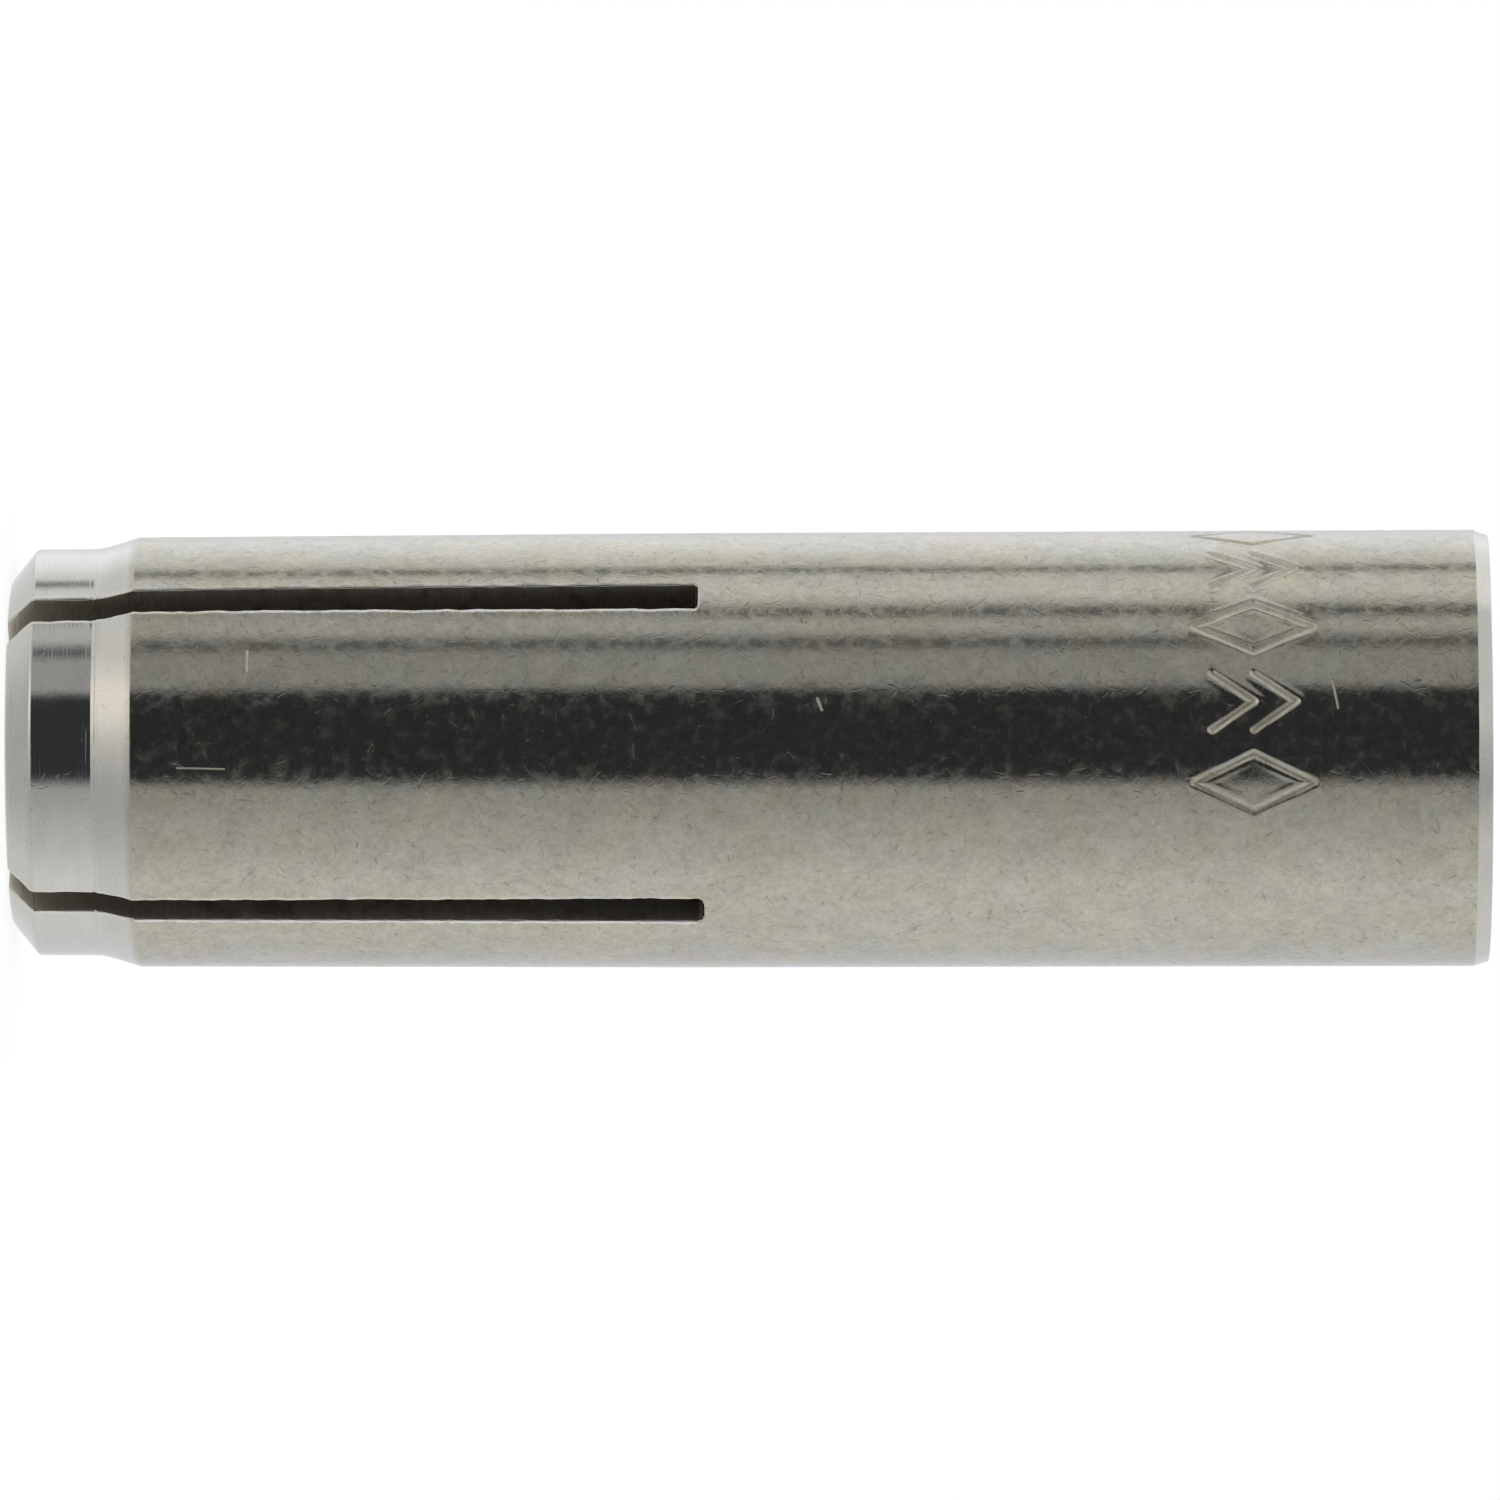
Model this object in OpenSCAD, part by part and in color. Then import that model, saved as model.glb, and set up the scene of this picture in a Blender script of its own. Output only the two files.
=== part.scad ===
// Drop-in anchor: a slotted sleeve with an internal thread, and the cone plug that spreads it.
// The sleeve stands on its expansion end, with its axis on Z and its mouth up.

/* [Body] */
// Length of the sleeve
body_l = 50; // [45:1:65]
// Wall of the sleeve outside the thread's nominal diameter
wall = 1.4; // [1.2:0.05:2]
// Length of the broken outer edge at the mouth, along the axis
mouth_edge_l = 0.35; // [0.1:0.05:0.8]
// Depth of the broken outer edge at the mouth, on the radius
mouth_edge_r = 0.15; // [0.05:0.05:0.4]

/* [Expansion end] */
// Height of the shoulder between the pilot land and the body, on the radius
shoulder_rise = 0.4; // [0.25:0.05:0.7]
// Length of the pilot land, with its chamfer
land_l = 2.65; // [2:0.05:5]
// Length of the chamfer behind the end face, along the axis
tip_chamfer_l = 0.85; // [0.4:0.05:1.2]
// Depth of the chamfer behind the end face, on the radius
tip_chamfer_r = 1.05; // [0.4:0.05:1.3]
// Angle of the shoulder ramp from the axis
ramp_angle = 16.7; // [12:0.1:30]
// Radius in the hollow corner where the land meets the ramp
ramp_root_r = 2.5; // [0.5:0.1:2.8]
// Radius over the top of the ramp
ramp_top_r = 1.1; // [0.3:0.1:1.5]
// How far each leg is set inwards at the end face
leg_set = 0.12; // [0:0.01:0.2]

/* [Slots] */
// Width of the slots at their root
slot_w = 1.05; // [0.8:0.05:1.6]
// Length of the first slot pair
slot_a_l = 23.2; // [18:0.1:26]
// Length of the second slot pair
slot_b_l = 23.45; // [18:0.1:26]
// Radius in the corners of the slot root
slot_corner_r = 0.2; // [0.05:0.05:0.35]

/* [Bore and thread] */
// Nominal diameter of the thread
thread_d = 12; // [10:0.5:14]
// Length of the thread below the mouth, with its countersink
thread_l = 22; // [16:0.5:24]
// Step from the thread's nominal radius in to the plain bore below it
thread_depth = 0.9; // [0.6:0.05:1.2]
// Size of the countersink at the mouth, on the radius and along the axis
sink = 0.5; // [0.2:0.05:0.8]
// Angle of the run-out under the thread, from the axis
runout_angle = 45; // [30:1:60]
// Length of the straight lip at the narrow end of the taper
lip_l = 1.5; // [0.8:0.1:3]
// Size of the broken inner edge at the end face
lip_edge = 0.4; // [0.1:0.05:0.6]

/* [Plug] */
// Length of the plug
plug_l = 10; // [8:0.5:12]
// Length of the plain band at the wide end of the plug
plug_band_l = 2; // [1:0.25:3]
// Angle from the axis of the cone on the plug and in the sleeve
cone_angle = 4.6; // [3:0.1:6]
// Gap between the plug's band and the plain bore, on the radius
plug_clear = 0.1; // [0.06:0.01:0.2]
// Gap under the thread's run-out, down to the plug
plug_drop = 0.5; // [0.2:0.1:3]
// Free travel of the plug before its cone reaches the sleeve's
plug_travel = 4; // [2:0.5:6]
// Gap left between the two cones at the end of the free travel, on the radius
seat_gap = 0.04; // [0.02:0.01:0.05]
// Size of the broken edges of the plug
plug_edge = 0.5; // [0.2:0.05:0.8]

/* [Hidden] */
$fn = 96;
steel = [0.74, 0.73, 0.7];
dull_steel = [0.58, 0.58, 0.57];
arc_steps = 6;
over = 1;

thread_r = thread_d / 2;
body_r = thread_r + wall;
land_r = body_r - shoulder_rise;
drill_r = thread_r - thread_depth;
slot_root_z = min(slot_a_l, slot_b_l);
thread_z = body_l - thread_l;
runout_z = thread_z - thread_depth / tan(runout_angle);

// The plug hangs just under the run-out, and the taper starts so that the free travel ends at the seat gap.
plug_r = drill_r - plug_clear;
plug_top_z = runout_z - plug_drop;
plug_low_z = plug_top_z - plug_l;
plug_cone_z = plug_top_z - plug_band_l;
taper_z = plug_cone_z - plug_travel + (plug_clear - seat_gap) / tan(cone_angle);
lip_r = drill_r - (taper_z - lip_l) * tan(cone_angle);

// A point of the turned outline [radius, height], moved in with the leg that it lies on.
function set_in(p) = [p[0] - leg_set * max(0, 1 - p[1] / slot_root_z), p[1]];

// Points of an arc in the outline's plane, from one angle to the other.
function arc(centre, r, from, to) = [
    for (i = [0 : arc_steps])
        let (a = from + (to - from) * i / arc_steps)
        centre + r * [cos(a), sin(a)]
];

// The two arcs of the shoulder take up part of its rise, and its straight ramp the rest.
ramp_rise = shoulder_rise - (ramp_root_r + ramp_top_r) * (1 - cos(ramp_angle));
ramp_run = ramp_rise / tan(ramp_angle);
ramp_end_z = land_l + (ramp_root_r + ramp_top_r) * sin(ramp_angle) + ramp_run;

// The shoulder: a hollow arc off the land, a straight ramp, and a round arc on to the body.
function shoulder() = concat(
    arc([land_r + ramp_root_r, land_l], ramp_root_r, 180, 180 - ramp_angle),
    arc([body_r - ramp_top_r, ramp_end_z], ramp_top_r, -ramp_angle, 0)
);

// Outside of the sleeve from the end face to the mouth.
function outside() = concat(
    [[land_r - tip_chamfer_r, 0], [land_r, tip_chamfer_l]],
    shoulder(),
    [[body_r, slot_root_z], [body_r, body_l - mouth_edge_l], [body_r - mouth_edge_r, body_l]]
);

// Inside of the sleeve from the mouth to the end face.
function inside() = [
    [thread_r + sink, body_l],
    [thread_r, body_l - sink],
    [thread_r, thread_z],
    [drill_r, runout_z],
    [drill_r, taper_z],
    [lip_r, lip_l],
    [lip_r, lip_edge],
    [lip_r + lip_edge, 0]
];

// Plan of one slot, seen from the side: it narrows towards the end face because the legs are set in.
module slot_plan(length) {
    tip_w = slot_w - 2 * leg_set * sin(45);
    root_z = length - slot_corner_r;
    corner_x = slot_w / 2 - slot_corner_r;
    polygon(concat(
        [[-tip_w / 2, 0], [-tip_w / 2, -over], [tip_w / 2, -over], [tip_w / 2, 0]],
        arc([corner_x, root_z], slot_corner_r, 0, 90),
        arc([-corner_x, root_z], slot_corner_r, 90, 180)
    ));
}

// One saw cut right across the sleeve, which makes two slots that face each other.
module slot_cut(length, turn) {
    rotate([0, 0, turn])
        rotate([90, 0, 0])
            linear_extrude(height = 2 * (body_r + over), center = true)
                slot_plan(length);
}

module sleeve() {
    color(steel)
        difference() {
            rotate_extrude() polygon(concat([for (p = outside()) set_in(p)], inside()));
            slot_cut(slot_a_l, -45);
            slot_cut(slot_b_l, 45);
        }
}

// The plug: a plain band that runs in the bore, and the cone that drives the legs apart.
module expander_plug() {
    low_r = plug_r - (plug_l - plug_band_l) * tan(cone_angle);
    color(dull_steel)
        rotate_extrude()
            polygon([
                [0, plug_low_z],
                [low_r - plug_edge, plug_low_z],
                [low_r + plug_edge * tan(cone_angle), plug_low_z + plug_edge],
                [plug_r, plug_cone_z],
                [plug_r, plug_top_z - plug_edge],
                [plug_r - plug_edge, plug_top_z],
                [0, plug_top_z]
            ]);
}

sleeve();
expander_plug();
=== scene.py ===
"""Drop-in anchor: the dressed sleeve, its cone plug, and a white light tent round them."""

import math
from collections import namedtuple

import bpy
import numpy as np
from mathutils import Matrix, Vector


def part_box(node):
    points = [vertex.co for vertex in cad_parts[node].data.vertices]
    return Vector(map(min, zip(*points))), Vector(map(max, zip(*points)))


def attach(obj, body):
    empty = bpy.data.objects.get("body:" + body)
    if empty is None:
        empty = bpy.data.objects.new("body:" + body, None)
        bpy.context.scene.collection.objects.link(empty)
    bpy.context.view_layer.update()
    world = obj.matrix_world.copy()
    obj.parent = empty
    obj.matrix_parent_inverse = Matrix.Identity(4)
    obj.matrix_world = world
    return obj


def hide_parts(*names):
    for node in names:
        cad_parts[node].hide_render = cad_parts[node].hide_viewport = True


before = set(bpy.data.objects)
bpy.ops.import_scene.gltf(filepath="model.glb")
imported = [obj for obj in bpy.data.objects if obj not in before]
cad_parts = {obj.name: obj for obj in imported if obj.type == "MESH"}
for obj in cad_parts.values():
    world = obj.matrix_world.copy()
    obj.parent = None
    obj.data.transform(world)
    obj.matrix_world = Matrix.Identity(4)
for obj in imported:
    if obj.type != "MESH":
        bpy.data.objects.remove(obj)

bl_info = {
    "name": "Drop-in anchor",
    "version": (1, 0, 0),
    "blender": (4, 5, 0),
    "location": "View3D > Sidebar > Anchor",
    "description": "Builds a drop-in anchor, its cone plug and a light tent",
    "category": "Object",
}

MM = 0.001
SLEEVE_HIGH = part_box("sleeve")[1]
PLUG_LOW, PLUG_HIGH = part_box("expander_plug")
ZONES = ("satin", "turned", "sawn", "bored")

# Degrees round the axis: the slots' middles, with the first one again at the end, and the front.
SLOT_ANGLES = (45.2, 137.2, 225.2, 317.2, 405.2)
FRONT_ANGLE = 270.0

# Shapes of the sleeve that the sidebar doesn't change, with their lengths in millimetres.
NOMINAL_R = 7.4
CHAMFER_R = 1.05
CHAMFER_SLOPE = 1.235
LAND_END = 2.65
HOLLOW_R = 2.5
GROOVE_Z = 2.935
GROOVE_REACH = 0.03
GROOVE_DEPTH = 0.022
RAMP_LOW = 3.368
RAMP_ANGLE = math.radians(16.7)
SLOT_CORNERS = (0.09, 0.22)
INNER_EDGE = 0.04
BENT_SLOT = 2
BEND_DEGREES = 0.9
BEND_L = 9.0
LIP_TOP = 1.5
TAPER_TOP = 21.38
RUNOUT_LOW = 27.1
SINK = 0.5
MARKED_R = 7.39
MARKED_DEGREES = (183.0, 290.0)
FIGURES = 5
BAND_MARGIN = 0.22

# How finely the sleeve's mesh is divided.
LEG_COLUMNS = 29
WALL_POINTS = 6
ROOT_POINTS = 3
BAND_ROWS = 72
BORE_COLUMNS = 132
PLUG_COLUMNS = 144
FLOOR_COLUMNS = 96

# The picture's width in pixels, and how many of them a millimetre takes at the sleeve's axis.
PICTURE_PIXELS = 1500.0
PIXELS_PER_MM = 29.46

Side = namedtuple("Side", "wall skin broken wall_z skin_z")
Leg = namedtuple("Leg", "outer wall_b inner wall_a lean")


def length_setting(name, description, millimetres):
    default = millimetres * MM
    return bpy.props.FloatProperty(name=name, description=description, default=default, unit="LENGTH")


def angle_setting(name, description, degrees):
    default = math.radians(degrees)
    return bpy.props.FloatProperty(name=name, description=description, default=default, subtype="ANGLE")


def colour_setting(name, description, default):
    return bpy.props.FloatVectorProperty(
        name=name,
        description=description,
        default=default,
        size=3,
        subtype="COLOR",
        min=0.0,
        max=1.0,
    )


class SleeveSizes(bpy.types.PropertyGroup):
    """Sizes of the sleeve's turned and sawn shapes."""

    length: length_setting("Length", "Length of the sleeve", SLEEVE_HIGH[2] / MM)
    body_r: length_setting("Body radius", "Radius of the body at the slot roots", 7.372)
    mouth_r: length_setting("Mouth radius", "Radius of the body behind the mouth's edge", 7.398)
    land_r: length_setting("Land radius", "Radius of the pilot land, before the legs are set in", 6.99)
    leg_set: length_setting("Leg set", "How far each leg is set inwards at the end face", 0.105)
    edge: length_setting("Broken edge", "Mean width of the broken edges along the slots", 0.05)
    slot_w: length_setting("Slot width", "Width of the slots at their root", 1.09)
    tip_a: length_setting("First tip width", "Width of the first slot pair at the end face", 0.935)
    tip_b: length_setting("Second tip width", "Width of the second slot pair at the end face", 0.875)
    slot_a: length_setting("First slot length", "Length of the first slot pair", 23.27)
    slot_b: length_setting("Second slot length", "Length of the second slot pair", 23.45)
    bore_r: length_setting("Bore radius", "Radius of the plain bore, and of the thread's crests", 5.1)
    lip_r: length_setting("Lip radius", "Radius of the hole in the end face", 3.503)
    thread_r: length_setting("Thread radius", "Radius at the roots of the thread", 6.0)
    pitch: length_setting("Thread pitch", "Pitch of the thread", 1.75)


class MarkSizes(bpy.types.PropertyGroup):
    """Sizes of the ornament stamped round the body."""

    start: length_setting("Start", "Height at which the stamped band starts", 39.98)
    height: length_setting("Height", "Height of the stamped band along the axis", 4.0)
    width: length_setting("Width", "Width of one figure round the body", 1.95)
    spacing: length_setting("Spacing", "Distance from one figure to the next round the body", 2.75)
    stroke: length_setting("Stroke", "Width of a stamped stroke", 0.27)
    depth: length_setting("Depth", "Depth of a stamped stroke", 0.05)
    lip: length_setting("Raised lip", "Height of the metal pushed up beside a stroke", 0.008)
    first: length_setting("First figure", "Place of the first figure round the body, from the front", -1.15)


class PlugSizes(bpy.types.PropertyGroup):
    """Sizes of the cone plug."""

    band_r: length_setting("Band radius", "Radius of the plug's plain band", 5.0)
    band_l: length_setting("Band length", "Length of the plug's plain band", 2.0)
    cone_angle: angle_setting("Cone angle", "Angle of the plug's cone from its axis", 4.6)
    edge: length_setting("Broken edge", "Size of the plug's broken edges", 0.5)


class SteelColours(bpy.types.PropertyGroup):
    """Colours and gloss of the steel's finishes."""

    satin: colour_setting("Tumbled steel", "Colour of the tumbled body", (0.47, 0.453, 0.387))
    turned: colour_setting("Turned steel", "Colour of the freshly turned faces", (0.605, 0.6, 0.56))
    sawn: colour_setting("Sawn steel", "Colour of the slots' walls", (0.56, 0.53, 0.47))
    bored: colour_setting("Bored steel", "Colour of the bore and the thread", (0.5, 0.48, 0.44))
    plug: colour_setting("Plug steel", "Colour of the cone plug", (0.42, 0.41, 0.39))
    gloss: bpy.props.FloatProperty(
        name="Body roughness",
        description="Roughness of the tumbled body",
        default=0.1,
        min=0.05,
        max=0.6,
        subtype="FACTOR",
    )


class StudioSettings(bpy.types.PropertyGroup):
    """The camera, the light tent and the floor."""

    distance: length_setting("Camera distance", "Distance from the camera to the sleeve", 580.0)
    aim: length_setting("Camera aim", "Height up the sleeve that the camera looks at", 24.98)
    picture_w: length_setting(
        "Picture width",
        "Width that the picture spans at the sleeve's axis",
        PICTURE_PIXELS / PIXELS_PER_MM,
    )
    yaw: angle_setting("Camera yaw", "How far the camera stands towards the mouth", 0.85)
    roll: angle_setting("Camera roll", "How far the sleeve is turned in the picture", 0.18)
    floor_colour: colour_setting("Floor colour", "Colour of the floor", (0.82, 0.82, 0.82))
    floor_r: length_setting("Floor radius", "Radius of the round floor", 600.0)


class Value:
    """A node's output in a Python expression, which adds a Math node for each step."""

    def __init__(self, graph, socket):
        self.graph = graph
        self.socket = socket

    def __add__(self, other):
        return self.graph.math("ADD", self, other)

    def __radd__(self, other):
        return self.graph.math("ADD", other, self)

    def __sub__(self, other):
        return self.graph.math("SUBTRACT", self, other)

    def __rsub__(self, other):
        return self.graph.math("SUBTRACT", other, self)

    def __mul__(self, other):
        return self.graph.math("MULTIPLY", self, other)

    def __rmul__(self, other):
        return self.graph.math("MULTIPLY", other, self)

    def __truediv__(self, other):
        return self.graph.math("DIVIDE", self, other)

    def __neg__(self):
        return self.graph.math("MULTIPLY", self, -1.0)

    def __abs__(self):
        return self.graph.math("ABSOLUTE", self)

    def rise(self, low, high):
        """Smooth step from 0 at low to 1 at high."""
        sockets = {"Value": self, "From Min": low, "From Max": high}
        return self.graph.add("MapRange", sockets, interpolation_type="SMOOTHSTEP")["Result"]

    def near(self, centre, reach):
        """1 at the centre, falling smoothly to 0 at the reach on both sides."""
        return 1.0 - abs(self - centre).rise(0.0, reach)


class Made:
    """A node that has been made, whose outputs are read by name."""

    def __init__(self, graph, node):
        self.graph = graph
        self.node = node

    def __getitem__(self, name):
        return Value(self.graph, self.node.outputs[name])


class Graph:
    """A node tree that is written as expressions."""

    def __init__(self, tree):
        self.tree = tree
        self.tree.nodes.clear()

    def add(self, kind, sockets=None, **settings):
        """Makes a node, sets its settings, then gives its sockets their values or links."""
        node = self.tree.nodes.new("ShaderNode" + kind)
        for name, setting in settings.items():
            setattr(node, name, setting)
        for name, value in (sockets or {}).items():
            self.give(node.inputs[name], value)
        return Made(self, node)

    def give(self, socket, value):
        if isinstance(value, Value):
            self.tree.links.new(value.socket, socket)
        elif isinstance(value, (tuple, list)) and socket.type == "RGBA":
            socket.default_value = (*value[:3], 1.0)
        else:
            socket.default_value = value

    def math(self, operation, *values):
        return self.add("Math", dict(enumerate(values)), operation=operation)["Value"]

    def clamped(self, value):
        """The value, kept between 0 and 1."""
        return self.add("Math", {0: value, 1: 0.0}, operation="ADD", use_clamp=True)["Value"]

    def vector(self, operation, *values):
        return self.add("VectorMath", dict(enumerate(values)), operation=operation)["Vector"]

    def mix(self, factor, first, second, blend="MIX"):
        """Mixes two colours, which are the node's sockets 6 and 7 and its output 2."""
        sockets = {"Factor": factor, 6: first, 7: second}
        return self.add("Mix", sockets, data_type="RGBA", blend_type=blend)[2]

    def tinted(self, colour, tone):
        """The colour, made lighter or darker by the tone."""
        return self.mix(1.0, colour, self.join(tone, tone, tone), "MULTIPLY")

    def noise(self, place, scale, detail=2.0, roughness=0.5):
        sockets = {"Vector": place, "Scale": scale, "Detail": detail, "Roughness": roughness}
        return self.add("TexNoise", sockets, noise_dimensions="3D")["Fac"]

    def parts(self, place):
        made = self.add("SeparateXYZ", {"Vector": place})
        return made["X"], made["Y"], made["Z"]

    def join(self, x, y, z):
        return self.add("CombineXYZ", {"X": x, "Y": y, "Z": z})["Vector"]

    def hypotenuse(self, x, y):
        return self.math("SQRT", x * x + y * y)

    def looked_at(self):
        """1 for rays straight from the camera, or through glass."""
        rays = self.add("LightPath")
        return self.math("MAXIMUM", rays["Is Camera Ray"], rays["Is Transmission Ray"])

    def place(self):
        """The point on the piece, in millimetres."""
        made = self.add("TexCoord")
        return self.vector("MULTIPLY", made["Object"], (1.0 / MM, 1.0 / MM, 1.0 / MM))


def new_material(name):
    material = bpy.data.materials.new(name)
    material.use_nodes = True
    return material, Graph(material.node_tree)


def hairs(graph, place, scale, width, reach, bend):
    """Short curved scratches, one in each cell, each turned its own way and cut to its own depth."""
    x, y, z = graph.parts(place)
    radius = graph.hypotenuse(x, y)
    sockets = {"Vector": place, "Scale": scale, "Randomness": 1.0}
    cell = graph.add("TexVoronoi", sockets, feature="F1", voronoi_dimensions="3D")
    red, green, blue = graph.parts(cell["Color"])
    middle_x, middle_y, middle_z = graph.parts(cell["Position"])
    off_x = x - middle_x
    off_y = y - middle_y
    across = (off_y * x - off_x * y) / radius
    along = z - middle_z
    turn = red * math.pi
    cosine = graph.math("COSINE", turn)
    sine = graph.math("SINE", turn)
    run = across * cosine + along * sine
    side = along * cosine - across * sine
    side = side + (green - 0.5) * bend * run * run
    line = 1.0 - abs(side).rise(0.0, width)
    end = 1.0 - abs(run).rise(reach * 0.5, reach)
    return line * end * (0.12 + 0.88 * blue * blue * blue)


def scar(graph, spot, start, end, width):
    """One deep scratch from start to end, each a distance round from the front and a height."""
    run_s = end[0] - start[0]
    run_z = end[1] - start[1]
    square = run_s * run_s + run_z * run_z
    off_s = spot[0] - start[0]
    off_z = spot[1] - start[1]
    part = graph.clamped((off_s * run_s + off_z * run_z) * (1.0 / square))
    gap_s = off_s - part * run_s
    gap_z = off_z - part * run_z
    gap = graph.hypotenuse(gap_s, gap_z)
    return 1.0 - gap.rise(width * 0.2, width)


def worn_and_highlit_edges(graph, place, outline):
    """1 on the edges along both saw cuts, with a ragged inner border: burnished wear that is partly a
    painted highlight.
    """
    x, y, z = graph.parts(place)
    ragged = graph.noise(place, 3.2, 3.0, 0.7)
    edges = 0.0
    for turn, half_tip in zip(SLOT_ANGLES, outline.half_tips):
        slope = (outline.half_root - half_tip) / outline.slot_a
        across = x * math.sin(math.radians(turn)) - y * math.cos(math.radians(turn))
        gap = abs(across) - half_tip - z * slope
        edge = 1.0 - (gap + (ragged - 0.5) * 0.3).rise(0.08, 0.17)
        # The edges on one side of each cut are kept brighter: partly a burr on that side, partly a painted
        # highlight.
        edge = edge * (0.45 + 0.55 * graph.math("GREATER_THAN", across, 0.0))
        edges = graph.math("MAXIMUM", edges, edge)
    return edges * (1.0 - z.rise(outline.slot_a - 0.2, outline.slot_a + 0.1))


def finish_steel(graph, colour, roughness, height):
    """The steel shader, with its bump given as a height in millimetres."""
    bump = {"Strength": 1.0, "Distance": MM, "Height": height}
    sockets = {
        "Base Color": colour,
        "Metallic": 1.0,
        "Roughness": roughness,
        "Normal": graph.add("Bump", bump)["Normal"],
    }
    steel = graph.add("BsdfPrincipled", sockets)
    graph.add("OutputMaterial", {"Surface": steel["BSDF"]})


def scars_on_body(graph, place):
    """The four deep marks that the front of the body carries."""
    x, y, z = graph.parts(place)
    spot = (graph.math("ARCTAN2", -x, -y) * NOMINAL_R, z)
    tick = scar(graph, spot, (3.55, 8.2), (2.8, 8.18), 0.06)
    line = scar(graph, spot, (-0.56, 5.85), (-0.6, 7.45), 0.045)
    nick = scar(graph, spot, (2.3, 44.62), (1.35, 44.8), 0.06)
    ding = scar(graph, spot, (1.75, 27.35), (1.35, 27.5), 0.08)
    return graph.clamped(tick + line + nick + ding)


def satin_steel(colours, outline):
    """The tumbled body: soft mottling, fine grain, random curved hairs and a few deeper scratches."""
    material, graph = new_material("tumbled_steel")
    place = graph.place()
    broad = graph.noise(place, 0.4, 2.0)
    cloud = graph.noise(place, 1.5, 3.0, 0.55)
    dents = graph.noise(place, 4.5, 2.0, 0.55)
    grain = graph.noise(place, 12.0, 3.0, 0.65)
    haze = graph.noise(place, 2.3, 2.0, 0.55)
    specks = graph.noise(place, 15.0, 2.0).rise(0.64, 0.74)
    stain = graph.noise(graph.vector("ADD", place, (31.0, 7.0, 3.0)), 0.55, 3.0)
    long_hairs = hairs(graph, place, scale=0.85, width=0.05, reach=0.42, bend=1.1)
    mid_hairs = hairs(graph, place, scale=1.7, width=0.045, reach=0.25, bend=2.2)
    nicks = hairs(graph, place, scale=1.6, width=0.075, reach=0.15, bend=4.0)
    scratches = long_hairs + mid_hairs + nicks * 0.7
    scars = scars_on_body(graph, place)
    stamped = graph.add("Attribute", attribute_name="stamped")["Fac"]
    burr_and_highlight = worn_and_highlit_edges(graph, place, outline)
    height = cloud * 0.0055 + dents * 0.0024 + grain * 0.0004 - specks * 0.0005
    height = height - scratches * 0.0021 - scars * 0.003
    gloss = colours.gloss + haze.rise(0.4, 0.7) * 0.115 + (grain - 0.5) * 0.05
    roughness = gloss + scratches * 0.12 + scars * 0.3 + stamped * 0.3 + burr_and_highlight * 0.2
    tone = 1.02 + (cloud - 0.5) * 0.38 + (broad - 0.5) * 0.14 + (grain - 0.5) * 0.36
    tone = tone + (dents - 0.5) * 0.4 - specks * 0.3 - (long_hairs + mid_hairs) * 0.18
    tone = tone - nicks * 0.3 + scars * 0.45
    hue = graph.mix(stain.rise(0.35, 0.65), (0.985, 1.0, 1.03), (1.015, 1.0, 0.95))
    colour = graph.mix(1.0, graph.tinted(tuple(colours.satin), tone), hue, "MULTIPLY")
    # Painted highlight, partly burnished wear: the edges along the saw cuts are mixed towards a pale steel
    # colour.
    colour = graph.mix(burr_and_highlight, colour, (0.76, 0.75, 0.72))
    finish_steel(graph, colour, roughness, height)
    return material


def turned_steel(colours, outline):
    """Freshly turned faces: the tool's scalloped lines round the axis, brighter than the body."""
    material, graph = new_material("turned_steel")
    place = graph.place()
    x, y, z = graph.parts(place)
    radius = graph.hypotenuse(x, y)
    wander = graph.noise(place, 0.9, 2.0)
    ring = graph.join(radius * 12.0, z * 12.0, wander * 0.8)
    lines = graph.noise(ring, 1.0, 4.0, 0.7)
    strength = graph.noise(graph.join(x * 0.8, y * 0.8, z * 2.6), 1.0, 2.0).rise(0.3, 0.7)
    feed = graph.math("FRACT", (z + radius * 0.4) / 0.13 + wander * 0.5) - 0.5
    scallop = feed * feed * 4.0 * strength
    patch = graph.noise(graph.join(x * 0.7, y * 0.7, z * 2.2), 1.0, 3.0)
    grain = graph.noise(place, 12.0, 3.0, 0.6)
    cloud = graph.noise(place, 1.7, 3.0)
    specks = graph.noise(place, 9.0, 1.0).rise(0.7, 0.78)
    scratches = hairs(graph, place, scale=2.2, width=0.035, reach=0.2, bend=6.0)
    height = lines * 0.0009 + scallop * 0.0028 + grain * 0.0004 + cloud * 0.003 - scratches * 0.0016
    roughness = 0.1 + (lines - 0.5) * 0.06 + (patch - 0.5) * 0.06 + scratches * 0.1
    tone = 1.0 + (lines - 0.5) * 0.14 + (patch - 0.5) * 0.12 + (grain - 0.5) * 0.16 - specks * 0.3
    soft = graph.noise(place, 2.6, 2.0)
    near_body = (z + (soft - 0.5) * 0.25).rise(3.98, 4.36) * (1.0 - z.rise(20.0, 21.0))
    base = graph.mix(near_body, tuple(colours.turned), tuple(colours.satin))
    burr_and_highlight = worn_and_highlit_edges(graph, place, outline) * 0.6
    # Painted highlight, partly burnished wear: the edges along the saw cuts are mixed towards a pale steel
    # colour.
    colour = graph.mix(burr_and_highlight, graph.tinted(base, tone), (0.74, 0.72, 0.68))
    finish_steel(graph, colour, roughness, height)
    return material


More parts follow.
